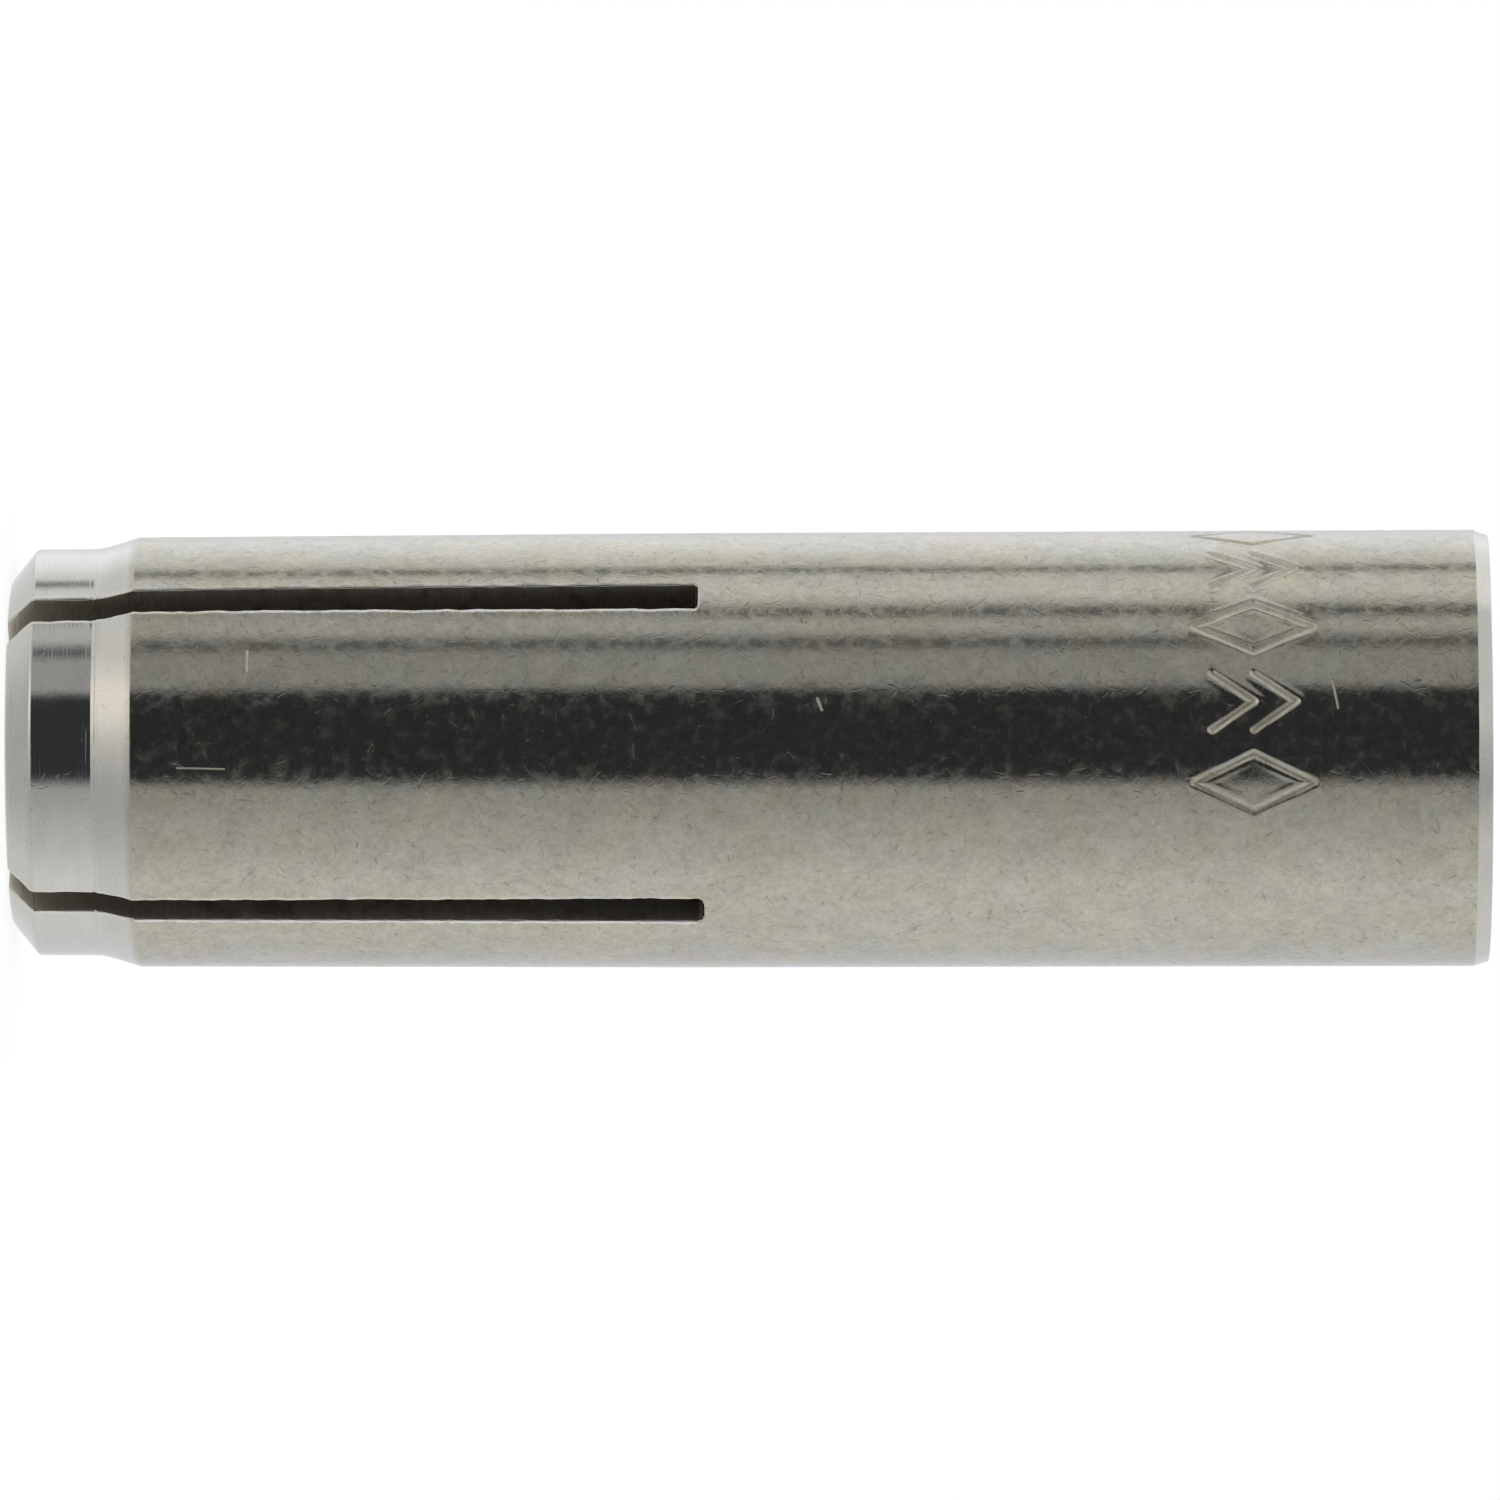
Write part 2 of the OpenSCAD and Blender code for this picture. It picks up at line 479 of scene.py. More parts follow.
def sawn_steel(colours):
    """The slots' walls: the saw's lines run across the wall, with dull stained steel between, painted
    lighter near the end face and painted darker towards the slots' roots.
    """
    material, graph = new_material("sawn_steel")
    place = graph.place()
    x, y, z = graph.parts(place)
    wander = graph.noise(place, 0.8, 2.0)
    saw = graph.noise(graph.join(x * 1.2, y * 1.2, z * 16.0 + wander * 2.0), 1.0, 3.0, 0.6)
    stain = graph.noise(place, 1.3, 3.0)
    height = saw * 0.006
    roughness = 0.5 + (saw - 0.5) * 0.2
    # Painted light and shade: the walls are lighter near the end face, where light comes in, and darker
    # from 15 mm up towards the slots' roots.
    tone = 0.85 + (saw - 0.5) * 0.5 + 0.12 * (1.0 - z.rise(0.2, 2.6)) - 0.12 * z.rise(15.0, 21.0)
    unstained_with_painted_light = graph.tinted(tuple(colours.sawn), tone)
    # The brown stain is kept off the walls near the end face, which stay painted lighter.
    colour = graph.mix(stain.rise(0.5, 0.72) * 0.5 * z.rise(1.5, 5.0), unstained_with_painted_light, (0.2, 0.13, 0.09))
    finish_steel(graph, colour, roughness, height)
    return material


def bored_steel(colours):
    """The bore and the thread: the tap's fine lines and a dull film of oil."""
    material, graph = new_material("bored_steel")
    place = graph.place()
    x, y, z = graph.parts(place)
    radius = graph.hypotenuse(x, y)
    ring = graph.join(radius * 6.0, z * 11.0, x * 0.1)
    lines = graph.noise(ring, 1.0, 3.0, 0.6)
    film = graph.noise(place, 0.7, 3.0)
    height = lines * 0.003
    roughness = 0.27 + (lines - 0.5) * 0.12 + (film - 0.5) * 0.12
    tone = 0.95 + (lines - 0.5) * 0.3 + (film - 0.5) * 0.25
    finish_steel(graph, graph.tinted(tuple(colours.bored), tone), roughness, height)
    return material


def plug_steel(colours):
    """The plug: dull turned steel, with fine rings on its ends and round its cone."""
    material, graph = new_material("plug_steel")
    place = graph.place()
    x, y, z = graph.parts(place)
    radius = graph.hypotenuse(x, y)
    lines = graph.noise(graph.join(radius * 9.0, z * 9.0, 0.0), 1.0, 4.0, 0.7)
    film = graph.noise(place, 0.8, 3.0)
    scratches = hairs(graph, place, scale=1.4, width=0.02, reach=0.4, bend=4.0)
    height = lines * 0.004 - scratches * 0.002
    roughness = 0.3 + (lines - 0.5) * 0.14 + (film - 0.5) * 0.12
    tone = 0.95 + (lines - 0.5) * 0.3 + (film - 0.5) * 0.24
    finish_steel(graph, graph.tinted(tuple(colours.plug), tone), roughness, height)
    return material


class Skin:
    """Points and faces gathered for one mesh, in millimetres."""

    def __init__(self):
        self.points = []
        self.faces = []
        self.zones = []
        self.normals = []
        self.stamped = []
        self.count = 0

    def block(self, points, is_round=False):
        """Adds a block of points and gives their numbers in the same layout."""
        points = np.asarray(points, dtype=float)
        numbers = np.arange(points[..., 0].size).reshape(points.shape[:-1]) + self.count
        self.points.append(points.reshape(-1, 3))
        radial = self.points[-1] * (1.0, 1.0, 0.0)
        self.normals.append(radial if is_round else np.full(radial.shape, np.nan))
        self.stamped.append(np.zeros(numbers.size))
        self.count += numbers.size
        return numbers

    def ring(self, radius, degrees, height, is_round=False):
        """Adds points at the radius, angle and height, any of which may be arrays."""
        return self.block(around(radius, degrees, height), is_round)

    def face(self, corners, zone):
        corners = [int(c) for c in corners]
        kept = [c for i, c in enumerate(corners) if c != corners[i - 1]]
        if len(set(kept)) >= 3:
            self.faces.append(kept)
            self.zones.append(ZONES.index(zone))

    def strip(self, low, high, zones, wrap=False):
        """Quads between two rows of numbers that have the same count."""
        count = len(low)
        last = count if wrap else count - 1
        for i in range(last):
            j = (i + 1) % count
            zone = zones if isinstance(zones, str) else zones[i]
            self.face((low[i], low[j], high[j], high[i]), zone)

    def sheet(self, rows, zones, wrap=False, inwards=False):
        """Strips from row to row, which face outwards or inwards."""
        rows = [row[::-1] for row in rows] if inwards else rows
        for low, high in zip(rows[:-1], rows[1:]):
            self.strip(low, high, zones, wrap)

    def stitch(self, low, low_angles, high, high_angles, zone):
        """Triangles between two closed rows that have their own counts, matched by angle."""
        low_count = len(low)
        high_count = len(high)
        i = j = 0
        while i < low_count or j < high_count:
            next_low = low_angles[i + 1] if i + 1 < low_count else low_angles[0] + 360.0
            next_high = high_angles[j + 1] if j + 1 < high_count else high_angles[0] + 360.0
            if j >= high_count or (i < low_count and next_low <= next_high):
                self.face((low[i % low_count], low[(i + 1) % low_count], high[j % high_count]), zone)
                i += 1
            else:
                self.face((low[i % low_count], high[(j + 1) % high_count], high[j % high_count]), zone)
                j += 1

    def ring_place(self, ring):
        """The angles and heights of a closed ring of points."""
        points = np.concatenate(self.points)[ring]
        angles = np.degrees(np.arctan2(points[:, 1], points[:, 0]))
        return np.unwrap(angles, period=360.0), points[:, 2]

    def build(self, name, materials):
        """Makes the mesh. A point's normal is given, or else the mean of its faces' by their areas."""
        points = np.concatenate(self.points)
        mesh = bpy.data.meshes.new(name)
        mesh.from_pydata((points * MM).tolist(), [], self.faces)
        mesh.update()
        for material in materials:
            mesh.materials.append(material)
        mesh.polygons.foreach_set("material_index", self.zones)
        mesh.polygons.foreach_set("use_smooth", [True] * len(mesh.polygons))
        normals = np.zeros((len(points), 3))
        for polygon in mesh.polygons:
            push = np.array(polygon.normal) * polygon.area
            for vertex in polygon.vertices:
                normals[vertex] += push
        given = np.concatenate(self.normals)
        is_given = ~np.isnan(given[:, 0])
        normals[is_given] = given[is_given]
        lengths = np.linalg.norm(normals, axis=1, keepdims=True)
        normals = normals / np.maximum(lengths, 1e-12)
        mesh.normals_split_custom_set_from_vertices(normals.tolist())
        stamped = mesh.attributes.new("stamped", "FLOAT", "POINT")
        stamped.data.foreach_set("value", np.concatenate(self.stamped))
        piece = bpy.data.objects.new(name, mesh)
        bpy.context.scene.collection.objects.link(piece)
        return piece


def around(radius, degrees, height):
    """Points at the radius, angle and height, which may be arrays."""
    radius, degrees, height = np.broadcast_arrays(radius, degrees, height)
    angle = np.radians(degrees)
    return np.stack([radius * np.cos(angle), radius * np.sin(angle), height], axis=-1)


def steps(low, high, step):
    """Even steps from low up to high, which is left out."""
    count = max(1, round((high - low) / step))
    return [low + (high - low) * i / count for i in range(count)]


class Outline:
    """The sleeve's outline in millimetres, from its sizes."""

    def __init__(self, sizes):
        for name in SleeveSizes.__annotations__:
            setattr(self, name, getattr(sizes, name) / MM)
        self.half_root = self.slot_w / 2.0
        self.half_tips = (self.tip_a / 2.0, self.tip_b / 2.0)
        self.root_shift = self.slot_b - self.slot_a

    def ramp(self, z):
        """Radius of the shoulder's straight ramp at a height."""
        start = self.land_r + HOLLOW_R * (1.0 - math.cos(RAMP_ANGLE))
        return start + (z - RAMP_LOW) * math.tan(RAMP_ANGLE)

    def hollow(self, z):
        """Radius of the hollow between the land and the ramp, with the tool's fine groove in it."""
        arc = self.land_r + HOLLOW_R - math.sqrt(HOLLOW_R**2 - max(0.0, z - LAND_END) ** 2)
        return arc - GROOVE_DEPTH * math.exp(-(((z - GROOVE_Z) / GROOVE_REACH) ** 2))

    def tip(self):
        """The tip's points [height, radius], from the end face to the body's start."""
        land = self.land_r
        foot = land - CHAMFER_R
        ramp_end = RAMP_LOW + (self.body_r - self.ramp(RAMP_LOW)) / math.tan(RAMP_ANGLE)
        points = [(0.0, foot - 0.035), (0.022, foot), (0.06, foot + 0.07)]
        points += [(z, foot + z * CHAMFER_SLOPE) for z in (0.2, 0.4, 0.6, 0.77)]
        points += [(0.81, foot + 0.995), (0.85, land - 0.022), (0.9, land - 0.004), (0.96, land)]
        points += [(z, land) for z in steps(1.2, LAND_END, 0.29)]
        for z in (LAND_END, 2.76, 2.84, 2.88, 2.92, 2.95, 2.98, 3.02, 3.06, 3.12, 3.24, 3.37):
            points.append((z, self.hollow(z)))
        points += [(z, self.ramp(z)) for z in steps(3.56, ramp_end - 0.05, 0.18)]
        points += [(z, self.ramp(z) + 0.004) for z in (ramp_end - 0.05, ramp_end - 0.02)]
        points += [(ramp_end + 0.02, self.body_r - 0.002), (ramp_end + 0.07, self.body_r)]
        return points

    def outer(self, z):
        """Radius of the outside at each height."""
        top = self.length
        mouth = self.mouth_r
        points = [*self.tip(), (24.0, self.body_r), (top - 0.5, mouth), (top - 0.46, mouth - 0.01)]
        points += [(top - 0.05, mouth - 0.125), (top - 0.015, mouth - 0.142), (top, mouth - 0.17)]
        heights, radii = zip(*points)
        set_in = self.leg_set * np.maximum(0.0, 1.0 - np.asarray(z) / self.slot_a)
        return np.interp(z, heights, radii) - set_in

    def inner(self, z):
        """Radius of the inside at each height below the thread."""
        lip = self.lip_r
        points = [(0.0, lip + 0.43), (0.03, lip + 0.37), (0.38, lip + 0.02), (0.42, lip)]
        points += [(LIP_TOP - 0.02, lip), (LIP_TOP + 0.02, lip + 0.002)]
        points += [(TAPER_TOP - 0.08, self.bore_r - 0.003), (TAPER_TOP, self.bore_r)]
        heights, radii = zip(*points)
        return np.interp(z, heights, radii)

    def half_slot(self, z, is_second):
        """Half the slot's width at a height."""
        tip = self.half_tips[is_second]
        flare = max(0.0, INNER_EDGE - z)
        return tip + (self.half_root - tip) * min(1.0, z / self.slot_a) + flare

    def shift(self, z):
        """How much of the second slots' extra length a height takes up."""
        return self.root_shift * np.interp(z, [12.0, 22.6, 25.0, 34.0], [0.0, 1.0, 1.0, 0.0])

    def thread(self):
        """One pitch of the thread: [height in the pitch, radius], from its crest round to the next."""
        crest = self.bore_r
        root = self.thread_r
        low_flank = crest + (root - crest) * 0.075
        high_flank = crest + (root - crest) * 0.88
        points = [(0.02, crest), (0.25, crest), (0.47, crest), (0.53, low_flank), (0.95, high_flank)]
        points += [(1.01, root - 0.015), (1.12, root), (1.23, root - 0.015)]
        return [*points, (1.29, high_flank), (1.7, low_flank)]


def wander(count, seed, smooth=2):
    """A seeded row of numbers between 0 and 1 that changes gently."""
    values = np.random.default_rng(seed).random(count + 2 * smooth)
    kernel = np.ones(smooth) / smooth
    return np.convolve(values, kernel, mode="same")[smooth : smooth + count]


def leg_heights(outline):
    """Heights of the legs' straight rows, from the end face to just below the slots' root corners."""
    tip = [height for height, radius in outline.tip()]
    lip = [0.38, LIP_TOP - 0.02]
    body = steps(tip[-1] + 0.2, outline.slot_a - 0.25, 0.22)
    taper = [TAPER_TOP - 0.08, TAPER_TOP]
    top = outline.slot_a - max(SLOT_CORNERS) - 0.05
    kept = []
    for z in sorted(set(round(height, 4) for height in [*tip, *lip, *body, *taper])):
        if z < top and (not kept or z - kept[-1] > 0.012):
            kept.append(z)
    return kept


def leg_side(outline, z, turn, is_second, wear):
    """One side of a leg, at a height below the root's corner or at a turn round that corner."""
    if turn is None:
        broken = outline.edge * (0.3 + 1.4 * wear)
        wall = outline.half_slot(z, is_second)
        skin = wall + broken
        wall_z = skin_z = z
    else:
        broken = outline.edge
        corner = SLOT_CORNERS[is_second]
        centre = outline.half_root - corner
        low = outline.slot_a - corner
        wall = centre + corner * math.cos(turn)
        wall_z = low + corner * math.sin(turn)
        skin = centre + (corner + broken) * math.cos(turn)
        skin_z = low + (corner + broken) * math.sin(turn)
    shift = float(outline.shift(skin_z)) if is_second else 0.0
    return Side(wall, skin, broken, wall_z + shift, skin_z + shift)


def leg_loop(outline, sides, leg, across):
    """One row of a leg as a closed loop: the outside, the second wall, the inside, the first wall."""
    low, high = sides
    heights = low.skin_z + (high.skin_z - low.skin_z) * across
    bend = BEND_DEGREES * max(0.0, 1.0 - float(heights[0]) / BEND_L)
    bases = [SLOT_ANGLES[slot] + bend * (slot == BENT_SLOT) for slot in (leg, leg + 1)]
    skins = []
    for radii in (outline.outer(heights), outline.inner(heights)):
        first = bases[0] + math.degrees(math.asin(low.skin / radii[0]))
        last = bases[1] - math.degrees(math.asin(high.skin / radii[-1]))
        skins.append(around(radii, first + (last - first) * across, heights))
    walls = []
    for side, base, sign in zip(sides, bases, (1.0, -1.0)):
        outside = float(outline.outer(side.skin_z)) - side.broken
        inside = float(outline.inner(side.skin_z)) + INNER_EDGE
        reach = np.linspace(outside, inside, WALL_POINTS)
        angles = base + sign * np.degrees(np.arcsin(side.wall / reach))
        walls.append(around(reach, angles, side.wall_z))
    return np.concatenate([skins[0], walls[1], skins[1][::-1], walls[0][::-1]])


def loop_parts(loop, wide):
    """A loop's outside, second wall, inside and first wall, all from the same side or from outside in."""
    outer, wall_b, inner, wall_a = np.split(loop, np.cumsum([wide, WALL_POINTS, wide]))
    return outer, wall_b, inner[::-1], wall_a[::-1]


def build_leg_end(skin, numbers, points, wide):
    """The flat end face of a leg, inside its lowest loop."""
    outer, wall_b, inner, wall_a = loop_parts(numbers, wide)
    outer_points, _, inner_points, _ = loop_parts(points, wide)
    rows = [outer]
    for i in range(WALL_POINTS):
        part = (i + 1.0) / (WALL_POINTS + 1.0)
        between = outer_points * (1.0 - part) + inner_points * part
        rows.append(np.concatenate([[wall_a[i]], skin.block(between[1:-1]), [wall_b[i]]]))
    rows.append(inner)
    skin.sheet(rows, "turned", inwards=True)


def build_legs(skin, outline):
    """The four sawn legs, up to the top of the slots' root corners."""
    rows = [(z, None) for z in leg_heights(outline)]
    rows += [(None, math.radians(turn)) for turn in range(0, 91, 15)]
    tip_top = outline.tip()[-1][0] - 0.06
    even = [i / LEG_COLUMNS for i in range(1, LEG_COLUMNS)]
    across = np.array([0.0, 0.012, *even, 0.988, 1.0])
    wide = len(across)
    walls = ["sawn"] * (WALL_POINTS - 1)
    legs = []
    for leg in range(4):
        wear = [wander(len(rows), 20 + leg * 2 + side) for side in (0, 1)]
        loops = []
        for k, (z, turn) in enumerate(rows):
            sides = [leg_side(outline, z, turn, (leg + i) % 2, wear[i][k]) for i in (0, 1)]
            loops.append(leg_loop(outline, sides, leg, across))
        numbers = skin.block(loops)
        for k in range(len(rows) - 1):
            z = rows[k][0]
            face = "turned" if z is not None and z < tip_top else "satin"
            zones = [face] * wide + walls + ["bored"] * (wide + 1) + walls + [face]
            skin.strip(numbers[k], numbers[k + 1], zones, wrap=True)
        build_leg_end(skin, numbers[0], loops[0], wide)
        lean = 1.0 - across if leg % 2 == 1 else across
        legs.append(Leg(*loop_parts(numbers[-1], wide), lean))
    return legs


def build_roots(skin, outline, legs):
    """The slots' root floors, and the first closed rings of the body and the bore above them."""
    rings = {"outer": [], "inner": []}
    lean_ring = []
    for index, leg in enumerate(legs):
        after = legs[(index + 1) % 4]
        lean = leg.lean[-1]
        base = SLOT_ANGLES[index + 1]
        centre = outline.half_root - SLOT_CORNERS[(index + 1) % 2]
        offsets = np.linspace(-centre, centre, ROOT_POINTS + 2)[1:-1]
        floor_z = outline.slot_a + outline.root_shift * lean
        skin_z = floor_z + outline.edge
        outside = float(outline.outer(skin_z))
        inside = float(outline.inner(skin_z))
        rows = []
        for i, reach in enumerate(np.linspace(outside - outline.edge, inside + INNER_EDGE, WALL_POINTS)):
            angles = base + np.degrees(np.arcsin(offsets / reach))
            middle = skin.ring(reach, angles, floor_z)
            rows.append(np.concatenate([[leg.wall_b[i]], middle, [after.wall_a[i]]]))
        skin.sheet(rows, "sawn")
        rings["outer"].append(leg.outer)
        rings["inner"].append(leg.inner)
        for name, radius, row in (("outer", outside, rows[0]), ("inner", inside, rows[-1])):
            angles = base + np.degrees(np.arcsin(offsets / radius))
            middle = skin.ring(radius, angles, skin_z)
            rings[name].append(middle)
            full = np.concatenate([[getattr(leg, name)[-1]], middle, [getattr(after, name)[0]]])
            if name == "outer":
                skin.strip(full, row, "satin")
            else:
                skin.strip(row, full, "sawn")
        lean_ring += [leg.lean, np.full(ROOT_POINTS, lean)]
    return np.concatenate(rings["outer"]), np.concatenate(rings["inner"]), np.concatenate(lean_ring)


def stroke_gap(across, up, start, end):
    """Distance from each point to a straight stroke."""
    run = np.array(end) - np.array(start)
    part = ((across - start[0]) * run[0] + (up - start[1]) * run[1]) / float(run @ run)
    part = np.clip(part, 0.0, 1.0)
    return np.hypot(across - start[0] - part * run[0], up - start[1] - part * run[1])


def figure_strokes(figure, wide, tall):
    """The strokes of one figure, each from start to end: a diamond, or a pair of chevrons."""
    if figure % 2 == 0:
        corners = [(0.0, 0.0), (wide, tall / 2.0), (0.0, tall), (-wide, tall / 2.0)]
        return list(zip(corners, corners[1:] + corners[:1]))
    strokes = []
    for foot in (0.15, 0.5):
        peak = (0.0, tall * (foot + 0.35))
        strokes += [((-wide, tall * foot), peak), (peak, (wide, tall * foot))]
    return strokes


def ornament(sizes, degrees, heights):
    """Height of the stamped ornament at each point, and how far the stamp reached it, from 0 to 1."""
    across = np.radians(FRONT_ANGLE - degrees) * MARKED_R
    up = heights - sizes.start / MM
    tall = sizes.height / MM
    wide = sizes.width / MM / 2.0
    half = sizes.stroke / MM * 0.62
    gap = np.full(across.shape, tall)
    for figure in range(FIGURES):
        from_middle = across - (sizes.first + figure * sizes.spacing) / MM
        for start, end in figure_strokes(figure, wide, tall):
            gap = np.minimum(gap, stroke_gap(from_middle, up, start, end))
    gap = gap + 0.008 * np.sin(across * 3.3 + up * 2.7)
    uneven = 0.85 + 0.15 * np.sin(across * 2.1 + up * 1.3) + 0.08 * np.sin(across * 3.7 - up * 2.6)
    part = np.clip(1.0 - gap / half, 0.0, 1.0)
    groove = -sizes.depth / MM * uneven * part * part * (3.0 - 2.0 * part)
    lip = sizes.lip / MM * uneven * np.exp(-(((gap - half - 0.06) / 0.1) ** 2))
    fade = np.clip((np.minimum(up, tall - up) + BAND_MARGIN) / 0.05, 0.0, 1.0)
    return (groove + lip) * fade, np.clip(1.1 - gap / half, 0.0, 1.0)


def build_band(skin, outline, marks, low, high, angles):
    """The body's stamped band, whose normals come from the ornament's own slope."""
    degrees, heights = np.broadcast_arrays(angles[None, :], np.linspace(low, high, BAND_ROWS)[:, None])
    relief, stamped = ornament(marks, degrees, heights)
    radii = np.minimum(outline.outer(heights) + relief, NOMINAL_R - 0.0005)
    band = skin.ring(radii, degrees, heights)
    turn = 0.1
    reach = math.radians(turn) * MARKED_R
    left, right = (ornament(marks, degrees + step, heights)[0] for step in (-turn, turn))
    under, above = (ornament(marks, degrees, heights + step)[0] for step in (-reach, reach))
    lean_round = (right - left) / (2.0 * reach)
    lean_up = (above - under) / (2.0 * reach)
    cosine = np.cos(np.radians(degrees))
    sine = np.sin(np.radians(degrees))
    normals = [cosine + lean_round * sine, sine - lean_round * cosine, -lean_up]
    skin.normals[-1] = np.stack(normals, axis=-1).reshape(-1, 3)
    skin.stamped[-1] = stamped.reshape(-1)
    return band


def build_body(skin, outline, marks, ring, lean):
    """The plain body above the slots, its stamped band and the mouth's outer edge."""
    angles, ring_z = skin.ring_place(ring)
    first_z = ring_z[0] - outline.root_shift * lean[0]
    low = marks.start / MM - BAND_MARGIN
    high = (marks.start + marks.height) / MM + BAND_MARGIN
    below = [ring]
    for z in [first_z + 0.08, first_z + 0.3, *steps(first_z + 0.8, low - 0.2, 0.9), low - 0.2]:
        heights = z + outline.shift(z) * lean
        below.append(skin.ring(outline.outer(heights), angles, heights, is_round=True))
    skin.sheet(below, "satin", wrap=True)
    last = below[-1][np.argsort(angles % 360.0)]
    angles = np.sort(angles % 360.0)
    marked_from, marked_to = MARKED_DEGREES
    fine = np.arange(marked_from, marked_to, 0.345)
    coarse = np.arange(marked_to, marked_from + 360.0, 2.5)
    band_angles = np.sort(np.concatenate([fine, coarse]) % 360.0)
    band = build_band(skin, outline, marks, low, high, band_angles)
    skin.stitch(last, angles, band[0], band_angles, "satin")
    skin.sheet(band, "satin", wrap=True)
    top = outline.length
    above = []
    for z in [high + 0.2, *steps(high + 0.6, top - 0.5, 0.9), top - 0.5]:
        above.append(skin.ring(outline.outer(z), angles, z, is_round=True))
    skin.stitch(band[-1], band_angles, above[0], angles, "satin")
    skin.sheet(above, "satin", wrap=True)
    rim = [above[-1]]
    turns = np.radians(angles)
    wobble = np.sin(turns * 5.0 + 1.0) + np.sin(turns * 13.0) + np.sin(turns * 23.0 + 2.0)
    for z in (top - 0.46, top - 0.25, top - 0.05, top - 0.015, top):
        worn = 0.008 * (wobble - 3.0) * (z > top - 0.4)
        rim.append(skin.ring(outline.outer(z) + worn, angles, z))
    skin.sheet(rim, "turned", wrap=True)
    return rim[-1], angles


def thread_rows(outline, mouth, sink_top):
    """Heights and radii of the thread's rows, which climb one pitch in a turn."""
    shape = outline.thread()
    turns = int(math.ceil((sink_top - RUNOUT_LOW) / outline.pitch)) + 2
    rise = outline.pitch * np.arange(BORE_COLUMNS) / BORE_COLUMNS
    rows = [(turn, level, radius) for turn in range(turns) for level, radius in shape]
    turn, level, radius = (np.array(column)[:, None] for column in zip(*rows))
    heights = RUNOUT_LOW - outline.pitch + turn * outline.pitch + level + rise
    radii = np.minimum(radius, outline.bore_r + np.maximum(0.0, heights - RUNOUT_LOW))
    return heights, np.maximum(radii, mouth - (sink_top - heights))


def build_thread(skin, outline, mouth, run_low, sink_ring, even):
    """The thread, between the rings at the run-out's low end and at the countersink's top."""
    sink_top = outline.length - 0.02
    heights, radii = thread_rows(outline, mouth, sink_top)
    is_low = heights <= RUNOUT_LOW + 0.03
    is_high = heights >= sink_top - 0.03
    inside = ~is_low & ~is_high
    numbers = np.where(is_low, run_low, sink_ring)
    degrees = np.broadcast_to(even, heights.shape)
    numbers[inside] = skin.ring(radii[inside], degrees[inside], heights[inside])
    rows = len(numbers)
    per_turn = len(outline.thread())
    for k in range(rows - 1):
        for c in range(BORE_COLUMNS):
            next_k, next_c = (k, c + 1) if c + 1 < BORE_COLUMNS else (k + per_turn, 0)
            if next_k + 1 < rows:
                here = (numbers[k, c], numbers[k + 1, c])
                skin.face((*here, numbers[next_k + 1, next_c], numbers[next_k, next_c]), "bored")


def build_bore(skin, outline, ring, lean, rim, rim_angles):
    """The bore above the slots, the run-out, the thread, the countersink and the mouth's face."""
    angles, ring_z = skin.ring_place(ring)
    first_z = ring_z[0] - outline.root_shift * lean[0]
    order = np.argsort(angles % 360.0)
    angles = np.sort(angles % 360.0)
    rows = [ring[order]]
    for z in (first_z + 0.1, first_z + 0.5):
        heights = z + outline.shift(z) * lean[order]
        rows.append(skin.ring(outline.bore_r, angles, heights))
    skin.sheet(rows, "bored", wrap=True, inwards=True)
    even = np.arange(BORE_COLUMNS) * 360.0 / BORE_COLUMNS
    plain = [skin.ring(outline.bore_r, even, z) for z in (24.9, 26.0, RUNOUT_LOW - 0.06)]
    run_low = skin.ring(outline.bore_r + 0.002, even, RUNOUT_LOW)
    skin.stitch(plain[0][::-1], 360.0 - even[::-1], rows[-1][::-1], 360.0 - angles[::-1], "bored")
    skin.sheet([*plain, run_low], "bored", wrap=True, inwards=True)
    top = outline.length
    mouth = outline.thread_r + SINK
    sink_ring = skin.ring(mouth, even, top - 0.02)
    build_thread(skin, outline, mouth, run_low, sink_ring, even)
    face = [skin.ring(mouth + inset, even, top) for inset in (0.03, 0.1)]
    skin.sheet([sink_ring, *face], "turned", wrap=True, inwards=True)
    rim_flat = skin.ring(outline.outer(top) - 0.16, rim_angles, top)
    skin.sheet([rim, rim_flat], "turned", wrap=True)
    skin.stitch(rim_flat, rim_angles, face[-1], even, "turned")


def build_sleeve(scene):
    """The whole dressed sleeve, from its legs up to its mouth."""
    outline = Outline(scene.anchor_sleeve)
    skin = Skin()
    legs = build_legs(skin, outline)
    outer, inner, lean = build_roots(skin, outline, legs)
    rim, rim_angles = build_body(skin, outline, scene.anchor_marks, outer, lean)
    build_bore(skin, outline, inner, lean, rim, rim_angles)
    colours = scene.anchor_colours
    finishes = [satin_steel(colours, outline), turned_steel(colours, outline)]
    finishes += [sawn_steel(colours), bored_steel(colours)]
    return skin.build("dressed_sleeve", finishes)


def lathe(skin, outline, columns, zone):
    """A closed turned shape from its outline, whose first and last points are on the axis."""
    degrees = np.arange(columns) * 360.0 / columns
    low = skin.block([[0.0, 0.0, outline[0][1]]])[0]
    high = skin.block([[0.0, 0.0, outline[-1][1]]])[0]
    rows = [skin.ring(radius, degrees, z) for radius, z in outline[1:-1]]
    skin.sheet(rows, zone, wrap=True)
    for i in range(columns):
        j = (i + 1) % columns
        skin.face((low, rows[0][j], rows[0][i]), zone)
        skin.face((high, rows[-1][i], rows[-1][j]), zone)


